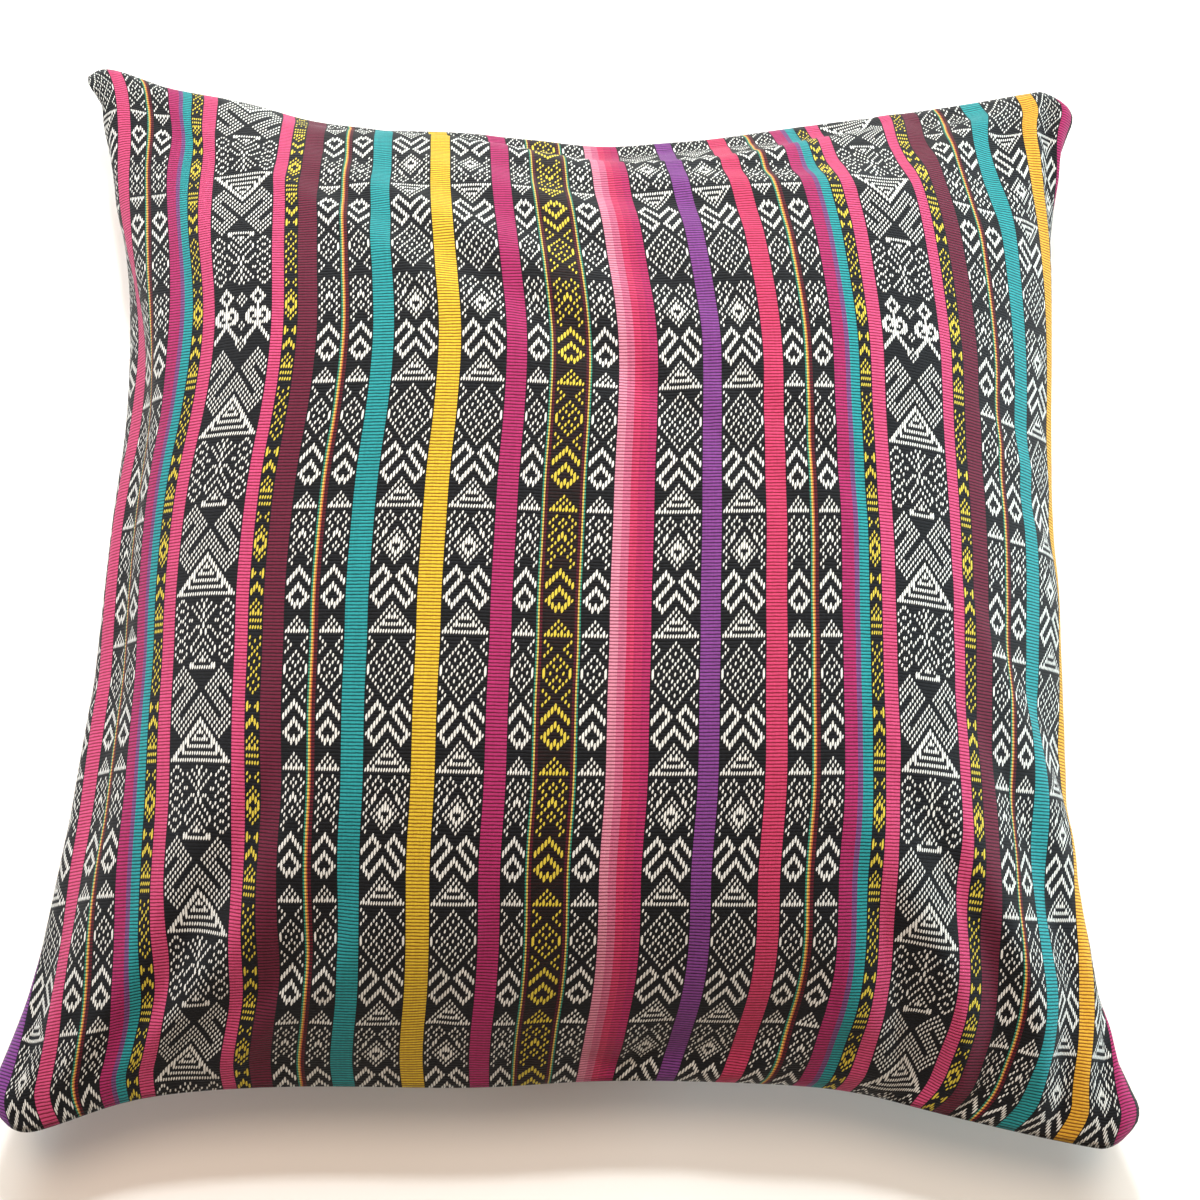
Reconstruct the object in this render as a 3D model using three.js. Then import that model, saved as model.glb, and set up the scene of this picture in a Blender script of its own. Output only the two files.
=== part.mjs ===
// Filled square pillow cover lying on its back: two woven panels sewn round the edge, as one solid.
// Millimetres, +Z up, X along the cloth's width, Y along its stripes. The origin is under the middle.
import * as THREE from "three";

// Driving dimensions
const FLAT_SIDE = 450; // one panel, seam to seam, before the cover is filled
const EAR_SPAN_X = FLAT_SIDE - 17; // between the corner tips, once filled
const EAR_SPAN_Y = FLAT_SIDE - 10;
const SEAM_HEIGHT = 56; // the seam line above the surface, halfway along a side
const EAR_HEIGHT = 52; // a corner tip above the surface
const CROWN = 72; // top panel above the seam line
const CROWN_POWER = 3.6; // higher is a flatter middle and steeper sides
const REST_SHARE = 0.55; // share of each half side over which the underside lies level
const RISE_POWER = 1.8; // higher eases the underside more slowly away from that level square
const EAR_REACH = 0.34; // share of a half side over which the seam line drops to an ear
const PANEL_STEPS = 44; // grid steps along each side of a panel

// Corner tips that are off the plain square, in mm: u and v name the corner
const EAR_SHIFTS = [
  { u: -1, v: 1, dx: -3.5, dy: 3.5 },
  { u: 1, v: 1, dx: 0, dy: -2 },
  { u: 1, v: -1, dx: 1, dy: 1 },
  { u: -1, v: -1, dx: 5.5, dy: 0 },
];

// How far each side is drawn in from the straight line between its ears.
// at runs from -1 to 1 along the side, towards +X or +Y, and inset is in mm.
const LEFT_SIDE = [
  { at: -1, inset: 0 },
  { at: -0.8, inset: 5.5 },
  { at: -0.6, inset: 12.5 },
  { at: -0.4, inset: 22 },
  { at: -0.2, inset: 27 },
  { at: 0.1, inset: 25.5 },
  { at: 0.33, inset: 28.5 },
  { at: 0.55, inset: 24 },
  { at: 0.78, inset: 17.5 },
  { at: 0.91, inset: 9 },
  { at: 1, inset: 0 },
];
const RIGHT_SIDE = [
  { at: -1, inset: 0 },
  { at: -0.8, inset: 5 },
  { at: -0.62, inset: 13 },
  { at: -0.45, inset: 16.5 },
  { at: -0.2, inset: 14 },
  { at: 0, inset: 12 },
  { at: 0.22, inset: 13 },
  { at: 0.45, inset: 9.5 },
  { at: 0.7, inset: 5.5 },
  { at: 0.88, inset: 2.5 },
  { at: 1, inset: 0 },
];
const FAR_SIDE = [
  { at: -1, inset: 0 },
  { at: -0.9, inset: 2 },
  { at: -0.8, inset: 9 },
  { at: -0.65, inset: 15 },
  { at: -0.5, inset: 24.5 },
  { at: -0.2, inset: 25.5 },
  { at: 0.05, inset: 32 },
  { at: 0.25, inset: 26.5 },
  { at: 0.45, inset: 18.5 },
  { at: 0.65, inset: 11 },
  { at: 0.85, inset: 3 },
  { at: 1, inset: 0 },
];
const NEAR_SIDE = [
  { at: -1, inset: 0 },
  { at: -0.9, inset: 0.5 },
  { at: -0.75, inset: 8.5 },
  { at: -0.5, inset: 13 },
  { at: -0.15, inset: 13.5 },
  { at: 0.05, inset: 16.5 },
  { at: 0.3, inset: 16.5 },
  { at: 0.5, inset: 14 },
  { at: 0.65, inset: 6.5 },
  { at: 0.82, inset: 0 },
  { at: 1, inset: 0 },
];

// Soft puckers that run in from the seam. at and width are shares of the half side along the seam,
// reach is the share of the half side that a pucker runs inwards, and depth is in mm.
const PUCKERS = [
  { side: "left", at: 0.84, width: 0.05, reach: 0.3, depth: 5 },
  { side: "left", at: 0.2, width: 0.07, reach: 0.4, depth: 5 },
  { side: "left", at: -0.24, width: 0.06, reach: 0.32, depth: 4 },
  { side: "left", at: -0.5, width: 0.06, reach: 0.3, depth: 4 },
  { side: "right", at: 0.76, width: 0.06, reach: 0.3, depth: 4 },
  { side: "right", at: 0.24, width: 0.07, reach: 0.32, depth: 4 },
  { side: "right", at: -0.3, width: 0.06, reach: 0.3, depth: 3.5 },
  { side: "right", at: -0.62, width: 0.06, reach: 0.3, depth: 4 },
  { side: "far", at: -0.56, width: 0.06, reach: 0.3, depth: 4 },
  { side: "far", at: 0.06, width: 0.07, reach: 0.28, depth: 4 },
  { side: "far", at: 0.6, width: 0.06, reach: 0.36, depth: 4.5 },
  { side: "near", at: -0.72, width: 0.06, reach: 0.3, depth: 4 },
  { side: "near", at: 0.1, width: 0.07, reach: 0.26, depth: 3.5 },
  { side: "near", at: 0.6, width: 0.06, reach: 0.34, depth: 5 },
];

const cloth = new THREE.MeshStandardMaterial({ color: 0x6b5560, roughness: 0.92, metalness: 0 });
cloth.name = "woven_cloth";

const clamp01 = (t) => Math.min(1, Math.max(0, t));
const smooth = (t) => clamp01(t) ** 2 * (3 - 2 * clamp01(t));

// Inset of a side at a place along it, on a smooth curve through the rows of its table
function insetAt(rows, at) {
  const last = rows.length - 2;
  let i = 0;
  while (i < last && at > rows[i + 1].at) i += 1;
  const before = rows[Math.max(i - 1, 0)];
  const start = rows[i];
  const end = rows[i + 1];
  const after = rows[Math.min(i + 2, rows.length - 1)];
  const span = end.at - start.at;
  const startSlope = (end.inset - before.inset) / (end.at - before.at);
  const endSlope = (after.inset - start.inset) / (after.at - start.at);
  const t = (at - start.at) / span;
  const ease = smooth(t);
  const bend = t * (1 - t) ** 2 * startSlope - t ** 2 * (1 - t) * endSlope;
  return start.inset + (end.inset - start.inset) * ease + bend * span;
}

// Share of each ear's shift that a point of the panel takes
function earShift(u, v) {
  const shift = { x: 0, y: 0 };
  for (const ear of EAR_SHIFTS) {
    const share = ((1 + u * ear.u) * (1 + v * ear.v)) / 4;
    shift.x += share * ear.dx;
    shift.y += share * ear.dy;
  }
  return shift;
}

// Place in plan of the panel point u, v, both from -1 to 1
function plan(u, v) {
  const shift = earShift(u, v);
  const sideInset = u < 0 ? insetAt(LEFT_SIDE, v) : -insetAt(RIGHT_SIDE, v);
  const endInset = v < 0 ? insetAt(NEAR_SIDE, u) : -insetAt(FAR_SIDE, u);
  return {
    x: (u * EAR_SPAN_X) / 2 + shift.x + sideInset * u * u,
    y: (v * EAR_SPAN_Y) / 2 + shift.y + endInset * v * v,
  };
}

// 0 at the seam and 1 in the middle, flat on top with steep sides
function fullness(u, v) {
  return (1 - Math.abs(u) ** CROWN_POWER) * (1 - Math.abs(v) ** CROWN_POWER);
}

// Height of the seam line, which drops towards each ear
function seamHeight(u, v) {
  const fromEar = Math.hypot(1 - Math.abs(u), 1 - Math.abs(v));
  return THREE.MathUtils.lerp(EAR_HEIGHT, SEAM_HEIGHT, smooth(fromEar / EAR_REACH));
}

// Depth of the puckers at a panel point. They fade out at the seam itself and at the end of their reach.
function puckerDepth(u, v) {
  const frames = {
    left: { along: v, inward: 1 + u },
    right: { along: v, inward: 1 - u },
    far: { along: u, inward: 1 - v },
    near: { along: u, inward: 1 + v },
  };
  let depth = 0;
  for (const pucker of PUCKERS) {
    const { along, inward } = frames[pucker.side];
    const across = Math.exp(-(((along - pucker.at) / pucker.width) ** 2));
    const inwards = smooth((4 * inward) / pucker.reach) * (1 - smooth(inward / pucker.reach));
    depth += pucker.depth * across * inwards;
  }
  return depth;
}

// 0 on the level square that the cover rests on, rising from its edges to 1 at the seam
function rise(u, v) {
  const beyond = (t) => clamp01((Math.abs(t) - REST_SHARE) / (1 - REST_SHARE)) ** RISE_POWER;
  return 1 - (1 - beyond(u)) * (1 - beyond(v));
}

function topPoint(u, v) {
  const { x, y } = plan(u, v);
  return new THREE.Vector3(x, y, seamHeight(u, v) + CROWN * fullness(u, v) - puckerDepth(u, v));
}

function undersidePoint(u, v) {
  const { x, y } = plan(u, v);
  return new THREE.Vector3(x, y, seamHeight(u, v) * rise(u, v));
}

// One closed skin: the two panels share the points of the seam
function pillowGeometry() {
  const n = PANEL_STEPS;
  const positions = [];
  const triangles = [];
  const places = new Map();

  function pointIndex(panel, i, j) {
    const onSeam = i === 0 || j === 0 || i === n || j === n;
    const key = `${onSeam ? "seam" : panel} ${i} ${j}`;
    if (!places.has(key)) {
      const u = (2 * i) / n - 1;
      const v = (2 * j) / n - 1;
      const point = panel === "top" || onSeam ? topPoint(u, v) : undersidePoint(u, v);
      places.set(key, positions.length / 3);
      positions.push(point.x, point.y, point.z);
    }
    return places.get(key);
  }

  // The diagonals mirror in each quarter, so that they run towards the ears
  function addCell(panel, i, j) {
    const corners = [
      pointIndex(panel, i, j),
      pointIndex(panel, i + 1, j),
      pointIndex(panel, i + 1, j + 1),
      pointIndex(panel, i, j + 1),
    ];
    if (panel === "underside") corners.reverse();
    const towardsEar = i < n / 2 === j < n / 2;
    const turn = towardsEar === (panel === "top") ? 0 : 1;
    const [a, b, c, d] = [0, 1, 2, 3].map((k) => corners[(k + turn) % 4]);
    triangles.push(a, b, c, a, c, d);
  }

  for (const panel of ["top", "underside"]) {
    for (let j = 0; j < n; j += 1) {
      for (let i = 0; i < n; i += 1) addCell(panel, i, j);
    }
  }
  const geometry = new THREE.BufferGeometry();
  geometry.setAttribute("position", new THREE.Float32BufferAttribute(positions, 3));
  geometry.setIndex(triangles);
  return geometry;
}

// Set the box's middle over the origin, with the flat underside at height 0
function centreInPlan(geometry) {
  geometry.computeBoundingBox();
  const middle = geometry.boundingBox.getCenter(new THREE.Vector3());
  geometry.translate(-middle.x, -middle.y, 0);
  geometry.computeVertexNormals();
  return geometry;
}

const cover = new THREE.Mesh(centreInPlan(pillowGeometry()), cloth);
cover.name = "pillow_cover";

const group = new THREE.Group();
group.name = "filled_pillow_cover";
group.add(cover);

export default group;
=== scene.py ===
# Filled pillow cover of warp-striped, figured hand-loom cloth, lying on its back on a pale floor.
# Lengths are in millimetres until a mesh is made. X runs across the stripes and Y along them.
import math

import bpy
import numpy as np
from mathutils import Matrix
from mathutils.bvhtree import BVHTree


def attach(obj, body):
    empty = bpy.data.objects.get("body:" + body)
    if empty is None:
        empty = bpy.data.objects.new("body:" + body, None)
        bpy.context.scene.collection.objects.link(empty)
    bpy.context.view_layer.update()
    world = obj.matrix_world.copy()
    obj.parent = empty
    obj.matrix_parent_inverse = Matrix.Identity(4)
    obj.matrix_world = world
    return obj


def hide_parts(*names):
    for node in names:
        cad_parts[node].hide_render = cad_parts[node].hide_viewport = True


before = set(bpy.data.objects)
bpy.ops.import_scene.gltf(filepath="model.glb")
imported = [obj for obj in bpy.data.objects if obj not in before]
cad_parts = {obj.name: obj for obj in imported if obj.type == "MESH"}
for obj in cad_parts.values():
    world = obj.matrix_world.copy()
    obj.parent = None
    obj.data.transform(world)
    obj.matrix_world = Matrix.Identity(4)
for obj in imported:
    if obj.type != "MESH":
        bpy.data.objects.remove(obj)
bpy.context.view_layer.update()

NODE = "pillow_cover"
MM = 0.001

# Weave
ROW_PITCH = 1.293  # one rib, which is also one row of the figures
ROWS = 350  # rows between the near seam and the far seam
FLAT_LENGTH = ROWS * ROW_PITCH
END_PITCH = 0.7  # one end of the plain stripes
TURN_ROW = 253.5  # the figures turn round beyond this row, and start with the net
WIDE_TURN = 249.5  # the same in the widest columns, which are plainly mirrored
SPRIG_ROWS = (228, 249)  # rows where the widest columns hold a pair of sprigs

# Colours as sRGB: the colour of a rib's lit top, and a darker, more saturated copy of it that
# paints the shade on the rib's flanks and in the grooves between ribs
COLOURS = {
    "pink": ((197, 71, 116), (111, 14, 40)),
    "coral": ((192, 58, 99), (110, 10, 30)),
    "magenta": ((165, 40, 98), (78, 5, 34)),
    "lilac": ((118, 72, 124), (56, 24, 58)),
    "purple": ((124, 60, 134), (45, 13, 54)),
    "teal": ((37, 143, 147), (2, 55, 60)),
    "yellow": ((208, 177, 46), (117, 69, 6)),
    "amber": ((214, 163, 50), (124, 66, 8)),
    "maroon": ((100, 26, 51), (39, 4, 14)),
    "pale": ((205, 130, 152), (123, 58, 77)),
    "blush": ((192, 101, 131), (113, 37, 62)),
    "cerise": ((178, 46, 93), (96, 8, 38)),
    "berry": ((170, 39, 95), (86, 6, 38)),
    "sea": ((49, 139, 116), (5, 51, 45)),
    "straw": ((207, 177, 84), (118, 85, 19)),
    "orange": ((191, 102, 58), (103, 39, 15)),
    "wine": ((82, 17, 32), (31, 3, 9)),
    "umber": ((32, 13, 14), (6, 3, 3)),
    "black": ((16, 16, 22), (3, 3, 4)),
}
WHITE_YARN = (223, 222, 217)
GOLD_YARN = (208, 186, 62)

# The warp from left to right: what a stripe is and its width. Medium, narrow, wide, small and band
# are figured columns on black, and the rest are plain ribbed stripes of one colour.
RAINBOW = [("sea", 0.6), ("straw", 0.6), ("orange", 0.5), ("wine", 1.3)]
THIN_RAINBOW = [("sea", 0.5), ("straw", 0.5), ("wine", 1.0)]
GRADIENT = [("pale", 3.0), ("blush", 2.8), ("coral", 2.6), ("cerise", 3.0), ("berry", 2.9)]
REPEAT = (
    [("pink", 7.7), ("narrow", 9.2)] + RAINBOW + [("narrow", 9.4), ("magenta", 5.0)]
    + [("lilac", 2.0), ("teal", 4.0), ("small", 5.4), ("pink", 5.8), ("wide", 27.0)]
    + [("pink", 5.1), ("small", 6.1), ("maroon", 8.0), ("narrow", 10.1)] + RAINBOW
    + [("narrow", 10.0), ("teal", 8.3), ("medium", 17.8), ("yellow", 8.5), ("medium", 17.3)]
    + [("magenta", 7.3), ("narrow", 8.5)] + THIN_RAINBOW + [("band", 11.0)] + THIN_RAINBOW[::-1]
    + [("narrow", 10.0)] + GRADIENT + [("medium", 17.2), ("purple", 7.0), ("medium", 16.5)]
)
LEFT_EDGE = [("purple", 7.5), ("medium", 17.8)]
RIGHT_EDGE = [("black", 2.0)]
LAST_WHOLE = 26  # stripes of the second repeat that fit before the right edge

# Figures, one group for each row from the far end to the near end. A group names the ends that
# float, counted outwards from the middle end to both sides, with a, b and c for 10, 11 and 12.
# A dash is a row with no float.
MEDIUM_EYE = "- 36 247 158 247 36 047 1458 0257 0136 01247 2358 1247 0136 027 18 07 4"
MEDIUM_NET = "- 08 17 26 037 248 15 036 157 248 0368 248 157 036 15 248 037 26 17 048"
MEDIUM_HOOKS = (
    "345 2356 1267 2378 348 045 0156 1267 2378 3467 0456 15 02 13 0124 35 012346 57 012345678"
)
NARROW_EYE = "- 2 03 14 03 2 03 014 13 2 03 14 03 2 3 4 3 0"
NARROW_NET = "- 4 3 2 3 04 1 2 13 04 24 04 13 2 1 04 3 2 3 04"
NARROW_HOOKS = "01 12 23 34 04 01 12 23 34 023 012 1 - - 0 1 02 13 01234"
SMALL_EYE = "- 2 1 2 - 0 1 02 01 12 2 12 01 02 1 0 - -"
SMALL_NET = "- 2 0 2 1 0 1 2 0 2 1 0 1 2 0 2 1 0 - -"
SMALL_HOOKS = "2 12 2 - 0 01 12 2 - 0 1 02 1 012 - 012 - 012 -"
WIDE_FACE = (
    "- 19a 038b 0257c 149a 037c 028b 1569a 08b 0237c 149a 157c 268b 039a 148b 257c 0359a 147c "
    "028b 0139a"
)
WIDE_PEAK = (
    "45 0123458 79 68a 579b 468ac 3579b 246ac 357b 0468c 1579 0268a 1379b 0248ac 1359b 246ac "
    "03579b 01468ac 12579b 02368a 013479 2458 012356 567 01234578 789 012345679a ab "
    "0123456789abc"
)
SPRIGS = (
    "7 678 05689 1459a 025689 1678 07 4579a 3456789ab 23678bc 2356789bc 2347abc 03456789ab "
    "1678 05689 459a 34ab 023bc 12c 02 1 08"
)

# How the ends and the floating yarn of each kind of figured column are laid out
HALF_ENDS = {"medium": 8, "narrow": 4, "band": 4, "small": 2, "wide": 12}
SELVEDGE = 0.45  # black beyond the last end of a figured column, in ends
GRAIN_WIDTH = 0.7  # of a float, in ends
GRAIN_LENGTH = 1.3  # of a float that is on its own, in rows
GRAIN_SPREAD = 0.1  # added to half the width where a float runs on into the next row
GRAIN_LEAN = (0.1, 0.24)  # of a lone float, in ends for each row: the least, and the chance on top
GRAIN_SIDE_POWER = 2.4  # higher is squarer across
GRAIN_END_POWER = 1.7  # and along
GRAIN_RIM = (1.15, 0.5)  # where a float starts to rise, and where it is at its full height
FLOAT_SHADES = 0.14  # how much darker than the yarn the darkest floats are
FIGURED_FLECK = 0.7  # how far the weft darkens single ribs of a figured column's ground
PLAIN_FLECK = 0.12  # and of a plain stripe
# From a rib's top to its groove the painted shade colour is mixed into the stripe's colour
RIB_GROOVE = (0.5, 0.16)  # distance from a rib's middle at its groove, and where its top begins
RIB_WANDER = 0.3  # how far the grooves stray, in rows
WANDER_STRETCH = 0.3  # how fast that changes from end to end, against from row to row
STREAK_STRETCH = 0.03  # how fast the dyed ends' shade changes along them, against across
STREAK_OFFSET = 40.0  # ends between the streaks of one stripe and those of the next
RIB_SHARE = 0.55  # height of a rib against a float
RELIEF = 0.0004  # height of a float in metres
WARP_SHADES = (0.82, 0.36)  # of the dyed ends: the darkest, and the range above it
RAMP_ROWS = 26  # rows held by one ramp
RAMP_PLACES = 32  # that a ramp has room for

# Grids
FORM_STEPS = 72  # each way, where the form is worked out
ROW_STEPS = 150  # along the stripes in the finished mesh
COLUMN_WIDTH = 2.6  # roughly, of the finished mesh's columns
RAY_START = 1000  # above or below the cover, where rays to its skin start
FRONT_BAKE = (0.66, 0.99)  # shares of the bake map that each panel fills
BACK_BAKE = (0.32, 0.99)
BACK_START = 0.67
FACET_ROUNDS = 3  # of smoothing that even out the solid's facets

# Front cloth that rolls under the left and right edges, at even places from the near seam to the
# far seam. The far left ear is tucked in by as much as its last value.
LEFT_ROLL = (0, 4, 9, 12.5, 14, 14, 14, 14, 14, 13, 7.5)
RIGHT_ROLL = (0, 7, 15, 23, 28, 30, 28, 23, 15, 7, 0)
FOLD_ROUND = 5.0  # how softly the cloth turns over the edge where it rolls under
LEFT_ROLL_POINTS = 8
RIGHT_ROLL_POINTS = 12
SEAM_STEP = 2.0  # between the points that the seam and the rolls are worked out on

# Ears: they are pushed out, rounded off along the seam, pressed back at the tip and filled
EAR_PUSH = 8.0
EAR_SPREAD = 22.0  # how far from the tip the push reaches
EAR_ROUND = 8.0
EAR_CUT = 12.0  # of each tip that is pressed back
EAR_BLUNT = 5.0  # how far the pressed part may still reach
EAR_FILL = 9.0  # filling in the ears, above the CAD form
EAR_REACH = 45.0  # how far from the tip the filling is felt

# How far the front cloth has crept to the right on its filling, in mm. Each row is a place along
# the stripes, from 0 at the near seam to 1 at the far seam, with a value for each place across.
CREEP_ACROSS = (0, 0.06, 0.12, 0.25, 0.4, 0.5, 0.63, 0.75, 0.85, 0.94, 1)
CREEP = (
    (0.0, (0, -5, -8, -6.5, -0.5, 3, 6, 10, 3, 0, 0)),
    (0.05, (0, -6.5, -4, -2.5, 1, 7, 13.5, 17.5, 15.5, 7, 0)),
    (0.19, (0, -0.5, 2.5, 5, 5, 9.5, 14, 15.5, 14, 8, 0)),
    (0.43, (0, -4, -5, -1.5, -0.5, 2, 3.5, 0.5, -2.5, -2, 0)),
    (0.7, (0, 2, 4.5, 6.5, 5, 7, 6.5, 3, 2, 1.5, 0)),
    (0.89, (0, -8, -7, 3, 2.5, 6, 8.5, 10, 8, 10, 0)),
    (1.0, (0, -9, -8, 0.5, 0.5, 4, 7, 9, 7.5, 9, 0)),
)

# Cloth simulation
FRAMES = 30
DRAW_FRAMES = 12  # while the seam draws in from the flat cut to its place
QUALITY = 6
MASS = 0.3  # of each point, in Blender's units, as are the stiffnesses and the pressure
PRESSURE = 3.0
TENSION = 40.0
SHEAR = 12.0
BENDING = 0.6
DAMPING = 10.0
AIR_DAMPING = 3.0
SWELLING = 6.0  # of the flat cut, which tells the pressure its way
PIN = 1.5  # stiffness with which the points are held
HOLD = 0.2  # how firmly the inner points are held near the CAD form, against 1 at the seam
SLIDE = 0.15  # share of the sliding along the skin that is kept
CAP = 3.5  # furthest that a point may settle off the CAD form
BROAD_ROUNDS = 22  # of smoothing that leave only the broad part of the moves
BROAD_SHARE = 0.9  # how strong each of those rounds is
SETTLE_ROUNDS = 2  # of smoothing after the moves

# Stage
FLOOR_REACH = 4000
FLOOR_COLOUR = (0.92, 0.91, 0.895, 1)
CAMERA_PLACE = (14.6, -194.4, 718.7)
CAMERA_TILT = 15.0  # degrees from straight down
CAMERA_ROLL = 0.85
LENS = 50.7
SENSOR = 36.0

# Light
AMBIENT_COLOUR = (1, 0.8, 0.62, 1)
AMBIENT = 0.18
DAYLIGHT = (0.84, 0.98, 1.0)
LEFT_DAYLIGHT = (0.85, 0.93, 1.0)
RIGHT_DAYLIGHT = (0.72, 0.93, 1.0)
LAMPLIGHT = (0.97, 1.0, 1.0)
WARM_LIGHT = (1.0, 0.78, 0.6)
WARMEST_LIGHT = (1.0, 0.6, 0.36)


def linear(rgb):
    """An sRGB colour from 0 to 255 as a linear one with alpha."""
    parts = [channel / 255 for channel in rgb]
    return [p / 12.92 if p <= 0.04045 else ((p + 0.055) / 1.055) ** 2.4 for p in parts] + [1.0]


def warp():
    """The stripes of the whole width, each with its kind, edges and middle. The second repeat
    starts with coral for pink, and has amber for yellow."""
    second = [("coral", REPEAT[0][1])] + REPEAT[1:LAST_WHOLE + 1]
    second = [("amber" if kind == "yellow" else kind, width) for kind, width in second]
    stripes, x = [], 0.0
    for kind, width in LEFT_EDGE + REPEAT + second + RIGHT_EDGE:
        stripes.append({"kind": kind, "left": x, "right": x + width, "middle": x + width / 2})
        x += width
    return stripes


WARP = warp()
FLAT_WIDTH = WARP[-1]["right"]


def resample(points, shares):
    """Points at the given shares of a polyline's length."""
    steps = np.linalg.norm(np.diff(points, axis=0), axis=1)
    along = np.concatenate([[0], np.cumsum(steps)])
    wanted = np.asarray(shares) * along[-1]
    return np.stack([np.interp(wanted, along, points[:, k]) for k in range(3)], axis=1)


def length(points):
    return np.linalg.norm(np.diff(points, axis=0), axis=1).sum()


def solid_faces(node):
    """Corner points in mm of the CAD solid's triangles."""
    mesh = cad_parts[node].data
    mesh.calc_loop_triangles()
    points = np.array([vertex.co for vertex in mesh.vertices]) / MM
    return points[np.array([tri.vertices for tri in mesh.loop_triangles])]


def ear_tip(loop, sx, sy):
    """Which point of the seam is the tip of the ear on those sides."""
    return int(np.argmax(loop[:, 0] * sx + loop[:, 1] * sy))


def blunted(loop):
    """The seam with its ears rounded off, as cloth turned right side out makes them."""
    corners = [(sx, sy) for sx in (-1, 1) for sy in (-1, 1)]
    for sx, sy in corners:
        tip = loop[ear_tip(loop, sx, sy)]
        near = np.exp(-np.sum((loop - tip) ** 2, axis=1) / (2 * EAR_SPREAD ** 2))
        loop = loop + near[:, None] * EAR_PUSH * np.array([sx, sy, 0])
    closed = np.vstack([loop, loop[:1]])
    count = round(length(closed) / SEAM_STEP)
    even = resample(closed, np.linspace(0, 1, count + 1))[:-1]
    loop = smoothed(even, EAR_ROUND / SEAM_STEP, wrap=True)
    for sx, sy in corners:
        outward = np.array([sx, sy, 0]) / math.sqrt(2)
        reach = loop @ outward
        beyond = np.maximum(reach - reach.max() + EAR_CUT, 0)
        kept = EAR_BLUNT * (1 - np.exp(-beyond / EAR_BLUNT))
        loop = loop + (kept - beyond)[:, None] * outward
    return loop


def smoothed(points, sigma, wrap=False):
    """Points of an even line, each averaged with those around it. An open line keeps its ends."""
    reach = math.ceil(3 * sigma)
    weights = np.exp(-np.arange(-reach, reach + 1) ** 2 / (2 * sigma ** 2))
    weights /= weights.sum()
    if wrap:
        padded = np.vstack([points[-reach:], points, points[:reach]])
    else:
        before = 2 * points[0] - points[reach:0:-1]
        after = 2 * points[-1] - points[-2:-reach - 2:-1]
        padded = np.vstack([before, points, after])
    return np.stack([np.convolve(padded[:, k], weights, mode="valid") for k in range(3)], axis=1)


def seam_sides(triangles):
    """The seam as four lines between the ears: left and right from near to far, near and far
    from left to right. It is where the faces that look up meet those that look down."""
    normals = np.cross(triangles[:, 1] - triangles[:, 0], triangles[:, 2] - triangles[:, 0])
    keys = [[tuple(np.round(point, 2)) for point in tri] for tri in triangles]
    up = {key for tri, n in zip(keys, normals) if n[2] > 0 for key in tri}
    down = {key for tri, n in zip(keys, normals) if n[2] <= 0 for key in tri}
    loop = blunted(np.array(sorted(up & down, key=lambda p: math.atan2(p[1], p[0]))))
    corner = {(sx, sy): ear_tip(loop, sx, sy) for sx in (-1, 1) for sy in (-1, 1)}

    def line(start, end):
        last = end if end > start else end + len(loop)
        return loop[np.arange(start, last + 1) % len(loop)]

    return {
        "near": line(corner[-1, -1], corner[1, -1]),
        "right": line(corner[1, -1], corner[1, 1]),
        "far": line(corner[1, 1], corner[-1, 1])[::-1],
        "left": line(corner[-1, 1], corner[-1, -1])[::-1],
    }


def plan_grid(sides, steps):
    """Coons patch between the four sides of the seam, indexed by along, then across."""
    shares = np.linspace(0, 1, steps + 1)
    near, far, left, right = (resample(sides[s], shares) for s in ("near", "far", "left", "right"))
    a, b = shares[None, :, None], shares[:, None, None]
    ends = near[None, :] * (1 - b) + far[None, :] * b
    flanks = left[:, None] * (1 - a) + right[:, None] * a
    corners = (near[0] * (1 - a) + near[-1] * a) * (1 - b) + (far[0] * (1 - a) + far[-1] * a) * b
    return ends + flanks - corners


def surface_grid(tree, plan, direction):
    """The plan's inner points moved up or down on to the solid's skin. Its rim is the seam."""
    grid = plan.copy()
    start = -direction * RAY_START
    for j in range(1, len(plan) - 1):
        for i in range(1, len(plan) - 1):
            x, y = plan[j, i, :2]
            hit = tree.ray_cast((x, y, start), (0, 0, direction))[0]
            grid[j, i, 2] = hit[2] if hit else plan[j, i, 2]
    return grid


def relax(grid, rounds, share=0.5):
    """A grid smoothed inside its rim. share says how far each round goes towards the neighbours."""
    for _ in range(rounds):
        inner = grid[1:-1, 1:-1]
        mean = (grid[:-2, 1:-1] + grid[2:, 1:-1] + grid[1:-1, :-2] + grid[1:-1, 2:]) / 4
        grid[1:-1, 1:-1] = inner + share * (mean - inner)
    return grid


def rounded_line(points):
    """A line across the front panel that turns softly where it rolls under."""
    even = resample(points, np.linspace(0, 1, round(length(points) / SEAM_STEP) + 1))
    return smoothed(even, FOLD_ROUND / SEAM_STEP)


def rolled_lines(top, under, along):
    """One line across each panel, where the front one starts and ends beneath the edges."""
    shares = np.linspace(0, 1, FORM_STEPS + 1)
    places = np.linspace(0, 1, len(LEFT_ROLL))
    total = length(under)
    left = smooth_curve(places, LEFT_ROLL, along) / total
    right = 1 - smooth_curve(places, RIGHT_ROLL, along) / total
    from_left = resample(under, np.linspace(left, 0, LEFT_ROLL_POINTS))[:-1]
    from_right = resample(under, np.linspace(1, right, RIGHT_ROLL_POINTS))[1:]
    crept = shares + creep(shares, along) / FLAT_WIDTH
    front = resample(rounded_line(np.vstack([from_left, top, from_right])), crept)
    return front, resample(under, np.linspace(left, right, FORM_STEPS + 1))


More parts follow.
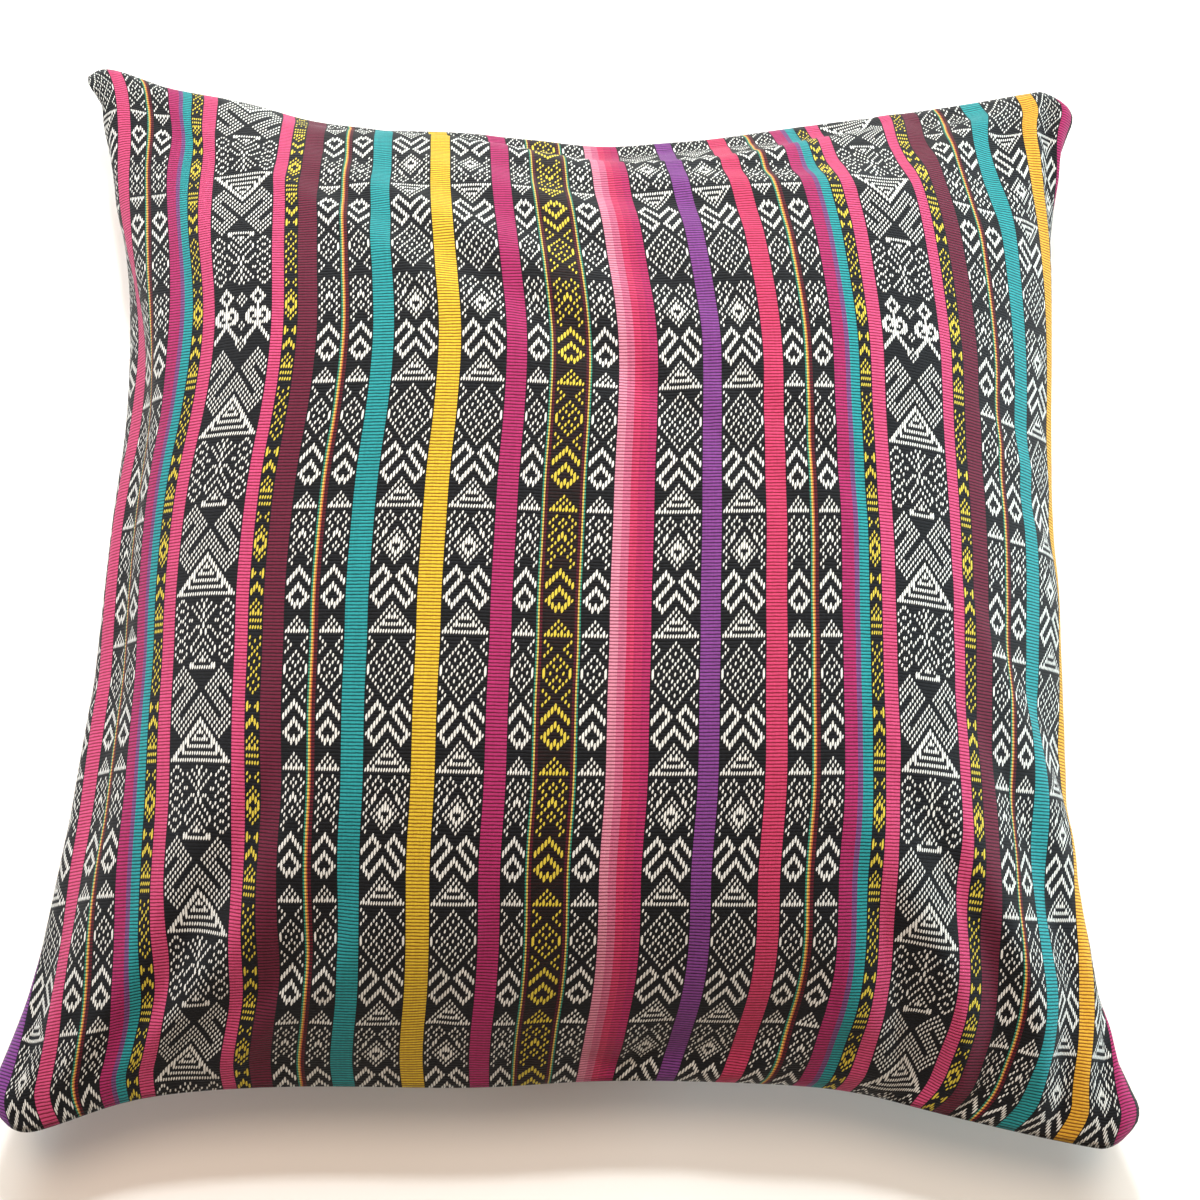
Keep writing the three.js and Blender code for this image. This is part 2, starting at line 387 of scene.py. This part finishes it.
def panels():
    """Front and back panel as grids of points, evenly laid over the cloth."""
    triangles = solid_faces(NODE)
    corners = [tuple(point) for tri in triangles for point in tri]
    faces = [(k, k + 1, k + 2) for k in range(0, len(corners), 3)]
    tree = BVHTree.FromPolygons(corners, faces)
    plan = plan_grid(seam_sides(triangles), FORM_STEPS)
    top = relax(surface_grid(tree, plan, -1), FACET_ROUNDS)
    under = surface_grid(tree, plan, 1)
    shares = np.linspace(0, 1, FORM_STEPS + 1)
    front, back = top.copy(), under.copy()
    for j in range(1, FORM_STEPS):
        front[j], back[j] = rolled_lines(top[j], under[j], shares[j])
    for end in (0, -1):
        tuck = LEFT_ROLL[end] * (1 - shares) ** 2
        crept = shares + (creep(shares, shares[end]) - tuck) / FLAT_WIDTH
        front[end] = back[end] = resample(top[end], crept)
    for panel in (front, back):
        for i in range(1, FORM_STEPS):
            panel[:, i] = resample(panel[:, i], shares)
    fill = ear_fill()
    front[..., 2] += fill
    back[..., 2] -= fill / 2
    return front, back


def ear_fill():
    """How much the filling plumps each point of a panel towards its ears, but not on the seam."""
    steps = np.arange(FORM_STEPS + 1)
    inward = np.minimum(steps, FORM_STEPS - steps) * FLAT_LENGTH / FORM_STEPS
    across, along = np.meshgrid(inward, inward)
    from_seam = 1 - np.exp(-np.minimum(across, along) / EAR_ROUND)
    return EAR_FILL * from_seam * np.exp(-(across ** 2 + along ** 2) / EAR_REACH ** 2)


def smooth_curve(places, values, at):
    """A smooth curve through values at uneven places, whose slopes come from the neighbours."""
    places, values = np.asarray(places, float), np.asarray(values, float)
    slopes = np.gradient(values, places)
    k = np.clip(np.searchsorted(places, at, side="right") - 1, 0, len(places) - 2)
    span = places[k + 1] - places[k]
    t = (at - places[k]) / span
    ease = t * t * (3 - 2 * t)
    bend = t * (1 - t) ** 2 * slopes[k] - t * t * (1 - t) * slopes[k + 1]
    return values[k] + (values[k + 1] - values[k]) * ease + bend * span


def creep(across, along):
    """How far the cloth has crept to the right, for every place across at one place along."""
    places = [place for place, _ in CREEP]
    columns = zip(*(values for _, values in CREEP))
    knots = [float(smooth_curve(places, column, along)) for column in columns]
    return smooth_curve(CREEP_ACROSS, knots, across)


def joined_panels(front, back):
    """Points and faces of both panels as one closed skin, which share the points of the seam.
    Also each panel's table of point numbers."""
    rows, columns = front.shape[:2]
    number = np.arange(rows * columns).reshape(rows, columns)
    under = number.copy()
    inner = (rows - 2) * (columns - 2)
    under[1:-1, 1:-1] = np.arange(inner).reshape(rows - 2, columns - 2) + rows * columns
    points = np.vstack([front.reshape(-1, 3), back[1:-1, 1:-1].reshape(-1, 3)])
    faces = []
    for ids, order in ((number, 1), (under, -1)):
        quads = np.stack([ids[:-1, :-1], ids[:-1, 1:], ids[1:, 1:], ids[1:, :-1]], axis=-1)
        faces.append(quads[..., ::order].reshape(-1, 4))
    return points, np.vstack(faces), (number, under)


def flat_panels(points, tables):
    """The panels as they are cut: flat, with a slight swelling that tells the pressure its way."""
    shares = np.linspace(0, 1, FORM_STEPS + 1)
    x, y = (shares[None, :] - 0.5) * FLAT_WIDTH, (shares[:, None] - 0.5) * FLAT_LENGTH
    hump = 4 * shares * (1 - shares)
    swelling = SWELLING * np.outer(hump, hump)
    flat = np.zeros_like(points)
    seam_height = points[tables[0][0], 2].mean()
    for table, side in zip(tables, (1, -1)):
        flat[table, 0] = x
        flat[table, 1] = y
        flat[table, 2] = seam_height + side * swelling
    return flat


def form_object(points, faces, tables):
    """The joined panels as an object that starts flat and is then drawn in to the filled form.
    Its group says how firmly each point is held to that form."""
    mesh = bpy.data.meshes.new("form")
    mesh.from_pydata((flat_panels(points, tables) * MM).tolist(), [], faces.tolist())
    form = add_object("form", mesh)
    form.shape_key_add(name="Flat")
    filled = form.shape_key_add(name="Filled")
    filled.data.foreach_set("co", (points * MM).ravel())
    for step, value in ((1, 0.0), (DRAW_FRAMES, 1.0)):
        filled.value = value
        filled.keyframe_insert("value", frame=step)
    rim = tables[0]
    seam = np.unique(np.concatenate([rim[0], rim[-1], rim[:, 0], rim[:, -1]]))
    held = form.vertex_groups.new(name="held")
    held.add(range(len(points)), HOLD, "REPLACE")
    held.add(seam.tolist(), 1.0, "REPLACE")
    return form


def add_cloth(form):
    cloth = form.modifiers.new("cloth", "CLOTH")
    settings = cloth.settings
    settings.quality = QUALITY
    settings.mass = MASS
    settings.tension_stiffness = settings.compression_stiffness = TENSION
    settings.shear_stiffness = SHEAR
    settings.bending_stiffness = BENDING
    settings.tension_damping = settings.compression_damping = settings.shear_damping = DAMPING
    settings.air_damping = AIR_DAMPING
    settings.use_pressure = True
    settings.uniform_pressure_force = PRESSURE
    settings.vertex_group_mass = "held"
    settings.pin_stiffness = PIN
    settings.effector_weights.gravity = 0
    cloth.collision_settings.use_collision = False
    cloth.point_cache.frame_start, cloth.point_cache.frame_end = 1, FRAMES + 1


def settle(front, back):
    """Both panels as simulated cloth: cut flat, sewn along the seam, and filled out by pressure
    while the seam draws in to its place."""
    points, faces, tables = joined_panels(front, back)
    form = form_object(points, faces, tables)
    add_cloth(form)
    scene = bpy.context.scene
    scene.frame_start, scene.frame_end = 1, FRAMES + 1
    for step in range(1, FRAMES + 2):
        scene.frame_set(step)
    draped = form.evaluated_get(bpy.context.evaluated_depsgraph_get()).data
    moved = np.empty(len(points) * 3)
    draped.vertices.foreach_get("co", moved)
    move = moved.reshape(-1, 3) / MM - points
    scene.frame_set(1)
    bpy.data.objects.remove(form)
    return [settled_panel(points[table], move[table]) for table in tables]


def settled_panel(panel, move):
    """One panel with the wrinkles of the simulation. The broad part of each move is left out, so
    that the seam and the form stay where they are, and so is most of the sliding along the skin,
    so that the stripes keep their places. Nothing goes below the floor."""
    move = move - relax(move.copy(), BROAD_ROUNDS, BROAD_SHARE)
    facing = np.cross(np.gradient(panel, axis=1), np.gradient(panel, axis=0))
    facing /= np.maximum(np.linalg.norm(facing, axis=2, keepdims=True), 1e-6)
    outward = np.sum(move * facing, axis=2, keepdims=True) * facing
    move = outward + SLIDE * (move - outward)
    reach = np.linalg.norm(move, axis=2, keepdims=True)
    panel = panel + relax(move * np.minimum(1, CAP / np.maximum(reach, 1e-6)), SETTLE_ROUNDS)
    panel[..., 2] = np.maximum(panel[..., 2], 0)
    return panel


def cubic_weights(positions, count):
    """Sampling matrix of a smooth curve through count even points."""
    matrix = np.zeros((len(positions), count))
    for row, t in enumerate(np.clip(positions, 0, count - 1)):
        k = min(int(t), count - 2)
        f = t - k
        weights = (
            (-f + 2 * f * f - f ** 3) / 2,
            (2 - 5 * f * f + 3 * f ** 3) / 2,
            (f + 4 * f * f - 3 * f ** 3) / 2,
            (-f * f + f ** 3) / 2,
        )
        for offset, weight in zip((-1, 0, 1, 2), weights):
            matrix[row, min(max(k + offset, 0), count - 1)] += weight
    return matrix


def column_edges():
    """Edges of the mesh's columns in mm from the left seam, with every stripe edge among them,
    and the stripe that each column lies in."""
    edges, owners = [0.0], []
    for stripe in WARP:
        count = max(1, round((stripe["right"] - stripe["left"]) / COLUMN_WIDTH))
        edges += list(np.linspace(stripe["left"], stripe["right"], count + 1)[1:])
        owners += [stripe] * count
    return np.array(edges), owners


def fine_grid(panel, across, along):
    """A panel's points at the given shares across it and along it, on smooth curves."""
    count = len(panel)
    rows = cubic_weights(along * (count - 1), count)
    columns = cubic_weights(across * (count - 1), count)
    return np.einsum("rj,jik,ci->rck", rows, panel, columns)


def cover_mesh(front, back):
    """One closed skin of both panels, with the cloth's own coordinates and colours on its faces."""
    edges, owners = column_edges()
    across, along = edges / FLAT_WIDTH, np.linspace(0, 1, ROW_STEPS + 1)
    grids = [fine_grid(front, across, along), fine_grid(back, across, along)]
    points, faces, _ = joined_panels(*grids)
    mesh = bpy.data.meshes.new("woven_cover")
    mesh.from_pydata((points * MM).tolist(), [], faces.tolist())
    mesh.polygons.foreach_set("use_smooth", [True] * len(mesh.polygons))
    write_cloth_maps(mesh, edges, owners)
    return mesh


def end_pitch(stripe):
    """Width of one warp end: a figured column's ends and its black edges fill its width."""
    half = HALF_ENDS.get(stripe["kind"])
    if half is None:
        return END_PITCH
    return (stripe["right"] - stripe["left"]) / (2 * half + 1 + 2 * SELVEDGE)


def code_room(kind):
    """How many different rows a kind of figured column has room for."""
    return 2 ** (HALF_ENDS[kind] + 1)


def write_cloth_maps(mesh, edges, owners):
    """Cloth map: ends from the middle of the stripe, and rows. Bake map: front beside back."""
    middle = np.array([stripe["middle"] for stripe in owners])
    row = np.linspace(0, ROWS, ROW_STEPS + 1)
    pitch = np.array([end_pitch(stripe) for stripe in owners])
    left, right = (edges[:-1] - middle) / pitch, (edges[1:] - middle) / pitch
    corner_u = np.stack([left, right, right, left], axis=-1)
    corner_v = np.stack([row[:-1], row[:-1], row[1:], row[1:]], axis=-1)
    cloth = np.zeros((ROW_STEPS, len(owners), 4, 2))
    cloth[..., 0] = corner_u[None]
    cloth[..., 1] = corner_v[:, None]
    flat_u = np.stack([edges[:-1], edges[1:], edges[1:], edges[:-1]], axis=-1) / FLAT_WIDTH
    bake = np.zeros_like(cloth)
    bake[..., 0] = flat_u[None]
    bake[..., 1] = corner_v[:, None] / ROWS
    maps = {
        "Cloth": [cloth, cloth],
        "OFBake": [bake * FRONT_BAKE, bake * BACK_BAKE + (BACK_START, 0)],
    }
    for name, (front, back) in maps.items():
        layer = mesh.uv_layers.new(name=name)
        values = np.concatenate([front.reshape(-1, 2), back[:, :, ::-1].reshape(-1, 2)])
        layer.data.foreach_set("uv", values.ravel())
    mesh.uv_layers["Cloth"].active = True
    mesh.uv_layers["Cloth"].active_render = True
    write_stripe_colours(mesh, owners)


def write_stripe_colours(mesh, owners):
    """Face attributes: a stripe's rib colour and the darker copy of it that paints the shade in the
    grooves between ribs, its yarn, and which figures it shows.
    """
    weight = {
        "medium": (code_room("medium"), 0, 0),
        "narrow": (0, code_room("narrow"), 0),
        "band": (0, code_room("band"), 0),
        "small": (0, 0, code_room("small")),
    }
    light, shade, yarn, figure, wide, fleck = [], [], [], [], [], []
    for stripe in owners:
        kind = stripe["kind"]
        pair = COLOURS.get(kind, COLOURS["umber" if kind == "band" else "black"])
        # light is the rib's lit colour, shade the painted shade of its flanks and grooves
        light.append(linear(pair[0]))
        shade.append(linear(pair[1]))
        yarn.append(linear(GOLD_YARN if kind in ("band", "small") else WHITE_YARN))
        figure.append(weight.get(kind, (0, 0, 0)))
        wide.append(code_room("wide") if kind == "wide" else 0)
        fleck.append(FIGURED_FLECK if kind in HALF_ENDS else PLAIN_FLECK)
    repeat = 2 * ROW_STEPS
    for name, kind, field, values in (
        ("light", "FLOAT_COLOR", "color", light),
        ("shade", "FLOAT_COLOR", "color", shade),
        ("yarn", "FLOAT_COLOR", "color", yarn),
        ("figure", "FLOAT_VECTOR", "vector", figure),
        ("wide", "FLOAT", "value", wide),
        ("fleck", "FLOAT", "value", fleck),
        ("stripe", "FLOAT", "value", [WARP.index(stripe) for stripe in owners]),
    ):
        attribute = mesh.attributes.new(name, kind, "FACE")
        attribute.data.foreach_set(field, np.tile(np.array(values, float).T, repeat).T.ravel())


class Graph:
    """Short ways to add shader nodes and join them."""

    def __init__(self, material):
        material.use_nodes = True
        self.tree = material.node_tree
        self.tree.nodes.clear()

    def node(self, kind, inputs=(), **settings):
        made = self.tree.nodes.new(kind)
        for name, value in settings.items():
            setattr(made, name, value)
        for key, value in dict(inputs).items():
            self.put(made.inputs[key], value)
        return made

    def put(self, socket, value):
        if isinstance(value, bpy.types.NodeSocket):
            self.tree.links.new(value, socket)
        else:
            socket.default_value = value

    def math(self, operation, *values, clamp=False):
        made = self.node("ShaderNodeMath", dict(enumerate(values)), operation=operation)
        made.use_clamp = clamp
        return made.outputs[0]

    def mix(self, share, first, second, blend="MIX"):
        """Two colours mixed. Sockets 6 and 7 of the node are the ones for colours."""
        made = self.node("ShaderNodeMix", data_type="RGBA", blend_type=blend)
        self.put(made.inputs[0], share)
        self.put(made.inputs[6], first)
        self.put(made.inputs[7], second)
        return made.outputs[2]

    def attribute(self, name):
        return self.node("ShaderNodeAttribute", attribute_name=name, attribute_type="GEOMETRY")

    def ramp_step(self, value, low, high):
        """0 below low and 1 above high, smooth between. low may be above high to turn it round."""
        made = self.node("ShaderNodeMapRange", {0: value, 1: low, 2: high, 3: 0.0, 4: 1.0})
        made.interpolation_type = "SMOOTHSTEP"
        return made.outputs[0]


def codes(*charts):
    """Each row of the charts as a number with one bit for each floating end."""
    rows = " ".join(charts).split()
    return [sum(2 ** int(end, 16) for end in row if end != "-") for row in rows]


def period_rows():
    """Colours for the rows of the common period, from a base line towards the near side. Red,
    green and blue hold the medium, narrow and small figures."""
    columns = []
    for kind, eye, net, hooks in (
        ("medium", MEDIUM_EYE, MEDIUM_NET, MEDIUM_HOOKS),
        ("narrow", NARROW_EYE, NARROW_NET, NARROW_HOOKS),
        ("small", SMALL_EYE, SMALL_NET, SMALL_HOOKS),
    ):
        rows = codes(eye, hooks, net, hooks)
        columns.append([code / code_room(kind) for code in rows[-1:] + rows[:-1]])
    return [(r, g, b, 1.0) for r, g, b in zip(*columns)]


def wide_colours(rows):
    """Colours for the rows of a widest column, which red alone holds."""
    return [(code / code_room("wide"), 0.0, 0.0, 1.0) for code in rows]


def chart_colour(graph, rows, index):
    """The colour of a whole-numbered row, looked up in ramps of constant steps."""
    colour = None
    for start in range(0, len(rows), RAMP_ROWS):
        place = graph.math(
            "MULTIPLY_ADD", index, 1 / RAMP_PLACES, (0.5 - start) / RAMP_PLACES, clamp=True
        )
        made = graph.node("ShaderNodeValToRGB", {0: place})
        ramp = made.color_ramp
        ramp.interpolation = "CONSTANT"
        part = rows[start:start + RAMP_ROWS]
        while len(ramp.elements) < len(part):
            ramp.elements.new(1.0)
        for k, value in enumerate(part):
            ramp.elements[k].position = k / RAMP_PLACES
            ramp.elements[k].color = value
        if colour is None:
            colour = made.outputs[0]
        else:
            later = graph.math("GREATER_THAN", index, start - 0.5)
            colour = graph.mix(later, colour, made.outputs[0])
    return colour


def rows_from(graph, row, turn):
    """How many rows away from a turn a row is, counting from 1 on both of its sides."""
    return graph.math("ADD", graph.math("ABSOLUTE", graph.math("SUBTRACT", row, turn)), 0.5)


def figure_bit(graph, row, out):
    """1 where an end floats in this row of the figures, and 0 where it lies in the ground."""
    period = period_rows()
    wide = codes(WIDE_FACE, WIDE_PEAK)
    half_period = len(codes(MEDIUM_EYE, MEDIUM_HOOKS))
    beyond = graph.math("MULTIPLY", graph.math("GREATER_THAN", row, TURN_ROW), half_period)
    turned = graph.math("ADD", rows_from(graph, row, TURN_ROW), beyond)
    common = chart_colour(graph, period, graph.math("FLOORED_MODULO", turned, len(period)))
    turned = rows_from(graph, row, WIDE_TURN)
    place = graph.math("FLOORED_MODULO", turned, len(wide))
    widest = chart_colour(graph, wide_colours(wide[-1:] + wide[:-1]), place)
    place = graph.math("SUBTRACT", SPRIG_ROWS[1], row)
    sprigs = chart_colour(graph, wide_colours(codes(SPRIGS)), place)
    reach = (SPRIG_ROWS[1] - SPRIG_ROWS[0] + 1) / 2
    in_sprigs = graph.math("COMPARE", row, sum(SPRIG_ROWS) / 2, reach)
    widest = graph.mix(in_sprigs, widest, sprigs)
    widest = graph.node("ShaderNodeSeparateColor", {0: widest}).outputs[0]
    wide_weight = graph.attribute("wide").outputs["Fac"]
    weights = graph.attribute("figure").outputs["Vector"]
    product = graph.node("ShaderNodeVectorMath", {0: common, 1: weights}, operation="DOT_PRODUCT")
    code = graph.math("MULTIPLY_ADD", widest, wide_weight, product.outputs["Value"])
    # A quarter on top keeps a code that comes out a hair too low from losing its last bit
    shifted = graph.math("DIVIDE", graph.math("ADD", code, 0.25), graph.math("POWER", 2.0, out))
    return graph.math("FLOORED_MODULO", graph.math("FLOOR", shifted), 2.0)


def cell_chance(graph, end, row):
    """A random number for one float."""
    stripe = graph.attribute("stripe").outputs["Fac"]
    cell = graph.node("ShaderNodeCombineXYZ", {0: end, 1: row, 2: stripe}).outputs[0]
    noise = graph.node("ShaderNodeTexWhiteNoise", {0: cell}, noise_dimensions="3D")
    return noise.outputs["Value"]


def grain(graph, spread, rise, chance, joined):
    """The raised shape of one float, from 0 at its rim to 1. It leans a little, and where it is
    joined to a float of the next row it runs on without an end."""
    least_lean, more_lean = GRAIN_LEAN
    alone = graph.math("SUBTRACT", 1.0, joined)
    lean = graph.math("MULTIPLY_ADD", chance, more_lean, least_lean)
    slant = graph.math("MULTIPLY", lean, alone)
    side = graph.math("SUBTRACT", spread, graph.math("MULTIPLY", slant, rise))
    half_width = graph.math("MULTIPLY_ADD", joined, GRAIN_SPREAD, GRAIN_WIDTH / 2)
    across = graph.math("ABSOLUTE", graph.math("DIVIDE", side, half_width))
    across = graph.math("POWER", across, GRAIN_SIDE_POWER)
    along = graph.math("ABSOLUTE", graph.math("DIVIDE", rise, GRAIN_LENGTH / 2))
    along = graph.math("POWER", along, GRAIN_END_POWER)
    return graph.ramp_step(graph.math("MULTIPLY_ADD", along, alone, across), *GRAIN_RIM)


def figure_floats(graph, end, row, spread, rise):
    """Height of the floats at a place, which are its own row's and the tip of the next row's.
    Also the random number of its own row's float."""
    out = graph.math("ABSOLUTE", end)
    step = graph.math("SIGN", rise)
    beside = graph.math("ADD", row, step)
    own, other = figure_bit(graph, row, out), figure_bit(graph, beside, out)
    chance = cell_chance(graph, end, row)
    here = graph.math("MULTIPLY", grain(graph, spread, rise, chance, other), own)
    past = graph.math("SUBTRACT", rise, step)
    tip = grain(graph, spread, past, cell_chance(graph, end, beside), 0.0)
    return graph.math("MAXIMUM", here, graph.math("MULTIPLY", tip, other)), chance


def rib_height(graph, u, v, rise):
    """Height of the weft ribs, whose grooves wander a little. The same value places the painted
    shade in the grooves.
    """
    spot = graph.node("ShaderNodeCombineXYZ", {0: graph.math("MULTIPLY", u, WANDER_STRETCH), 1: v})
    noise = graph.node("ShaderNodeTexNoise", {0: spot.outputs[0], "Scale": 0.8, "Detail": 1.0})
    wander = graph.math("MULTIPLY_ADD", noise.outputs[0], RIB_WANDER, -RIB_WANDER / 2)
    return graph.ramp_step(graph.math("ABSOLUTE", graph.math("ADD", rise, wander)), *RIB_GROOVE)


def warp_tone(graph, u, v):
    """Brightness of the dyed warp: fine streaks along the ends and slow changes between them."""
    stripe = graph.attribute("stripe").outputs["Fac"]
    spot = graph.node("ShaderNodeCombineXYZ", {
        0: graph.math("MULTIPLY_ADD", stripe, STREAK_OFFSET, u),
        1: graph.math("MULTIPLY", v, STREAK_STRETCH),
    })
    streaks = graph.node("ShaderNodeTexNoise", {0: spot.outputs[0], "Scale": 1.1, "Detail": 3.0})
    darkest, shades = WARP_SHADES
    return graph.math("MULTIPLY_ADD", streaks.outputs[0], shades, darkest)


def woven_material():
    material = bpy.data.materials.new("woven_cloth")
    graph = Graph(material)
    cloth = graph.node("ShaderNodeUVMap", uv_map="Cloth").outputs[0]
    place = graph.node("ShaderNodeSeparateXYZ", {0: cloth})
    u, v = place.outputs[0], place.outputs[1]
    end, row = graph.math("ROUND", u), graph.math("FLOOR", v)
    rise = graph.math("SUBTRACT", graph.math("SUBTRACT", v, row), 0.5)
    spread = graph.math("SUBTRACT", u, end)
    loop, chance = figure_floats(graph, end, row, spread, rise)

    # Ribs, with painted shade in their grooves, where the rib height mixes in the darker copy of
    # the stripe's colour, and which the weft darkens here and there
    rib = rib_height(graph, u, v, rise)
    fleck = graph.math("MULTIPLY", graph.attribute("fleck").outputs["Fac"], chance)
    bright = graph.math("MULTIPLY", rib, graph.math("SUBTRACT", 1.0, fleck))
    light, shade = graph.attribute("light").outputs[0], graph.attribute("shade").outputs[0]
    ground = graph.mix(bright, shade, light)
    ground = graph.mix(1.0, ground, warp_tone(graph, u, v), blend="MULTIPLY")

    # Each float has a brightness of its own
    tone = graph.math("MULTIPLY_ADD", chance, FLOAT_SHADES, 1 - FLOAT_SHADES)
    yarn = graph.mix(1.0, graph.attribute("yarn").outputs[0], tone, blend="MULTIPLY")
    colour = graph.mix(loop, ground, yarn)

    height = graph.math("MAXIMUM", loop, graph.math("MULTIPLY", rib, RIB_SHARE))
    bump = graph.node("ShaderNodeBump", {"Height": height, "Distance": RELIEF, "Strength": 0.8})
    shader = graph.node("ShaderNodeBsdfPrincipled", {
        "Base Color": colour,
        "Roughness": 0.8,
        "Sheen Weight": 0.06,
        "Specular IOR Level": 0.2,
        "Normal": bump.outputs[0],
    })
    graph.node("ShaderNodeOutputMaterial", {0: shader.outputs[0]})
    return material


def floor_material():
    material = bpy.data.materials.new("pale_floor")
    graph = Graph(material)
    shader = graph.node("ShaderNodeBsdfPrincipled", {"Base Color": FLOOR_COLOUR, "Roughness": 0.8})
    graph.node("ShaderNodeOutputMaterial", {0: shader.outputs[0]})
    return material


def add_object(name, data):
    made = bpy.data.objects.new(name, data)
    bpy.context.scene.collection.objects.link(made)
    return made


def build_cover():
    front, back = panels()
    front, back = settle(front, back)
    mesh = cover_mesh(front, back)
    mesh.materials.append(woven_material())
    cover = add_object("woven_cover", mesh)
    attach(cover, "root")
    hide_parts(NODE)


def build_floor():
    mesh = bpy.data.meshes.new("floor")
    r = FLOOR_REACH * MM
    mesh.from_pydata([(-r, -r, 0), (r, -r, 0), (r, r, 0), (-r, r, 0)], [], [(0, 1, 2, 3)])
    mesh.materials.append(floor_material())
    add_object("floor", mesh)


def build_camera():
    data = bpy.data.cameras.new("camera")
    data.sensor_width, data.sensor_fit, data.lens = SENSOR, "HORIZONTAL", LENS
    data.clip_start = 0.01
    camera = add_object("camera", data)
    tilt, roll = math.radians(CAMERA_TILT), math.radians(CAMERA_ROLL)
    turn = Matrix.Rotation(tilt, 4, "X") @ Matrix.Rotation(roll, 4, "Z")
    camera.matrix_world = Matrix.Translation([c * MM for c in CAMERA_PLACE]) @ turn
    bpy.context.scene.camera = camera


def add_light(name, place, size, power, colour):
    """A round light that faces the cover. Its place and size are in metres, its power in watts."""
    data = bpy.data.lights.new(name, "AREA")
    data.shape, data.size, data.energy, data.color = "DISK", size, power, colour
    lamp = add_object(name, data)
    lamp.location = place
    lamp.rotation_euler = (-lamp.location).to_track_quat("-Z", "Y").to_euler()
    lamp.visible_camera = False


def build_light():
    """Cool daylight from beyond the far side and low from both sides, a small lamp near the far
    side, and a warm ceiling that fills the near side."""
    world = bpy.data.worlds.new("studio")
    world.use_nodes = True
    background = world.node_tree.nodes["Background"]
    background.inputs["Color"].default_value = AMBIENT_COLOUR
    background.inputs["Strength"].default_value = AMBIENT
    bpy.context.scene.world = world
    add_light("window", (0, 1.5, 0.4), size=0.4, power=19, colour=DAYLIGHT)
    add_light("skylight", (0, 1.8, 2.2), size=1.0, power=26, colour=DAYLIGHT)
    add_light("right_window", (1.5, 0.1, 0.25), size=0.3, power=25, colour=RIGHT_DAYLIGHT)
    add_light("left_window", (-1.5, 0.1, 0.25), size=0.3, power=14, colour=LEFT_DAYLIGHT)
    add_light("lamp", (0, 0.32, 0.86), size=0.08, power=5.2, colour=LAMPLIGHT)
    add_light("ceiling", (0, 0.5, 2.2), size=0.8, power=21, colour=WARM_LIGHT)
    add_light("near_ceiling", (0.1, -0.2, 2.2), size=1.4, power=5, colour=WARMEST_LIGHT)
    bpy.context.scene.view_settings.view_transform = "Standard"


build_camera()
build_cover()
build_floor()
build_light()
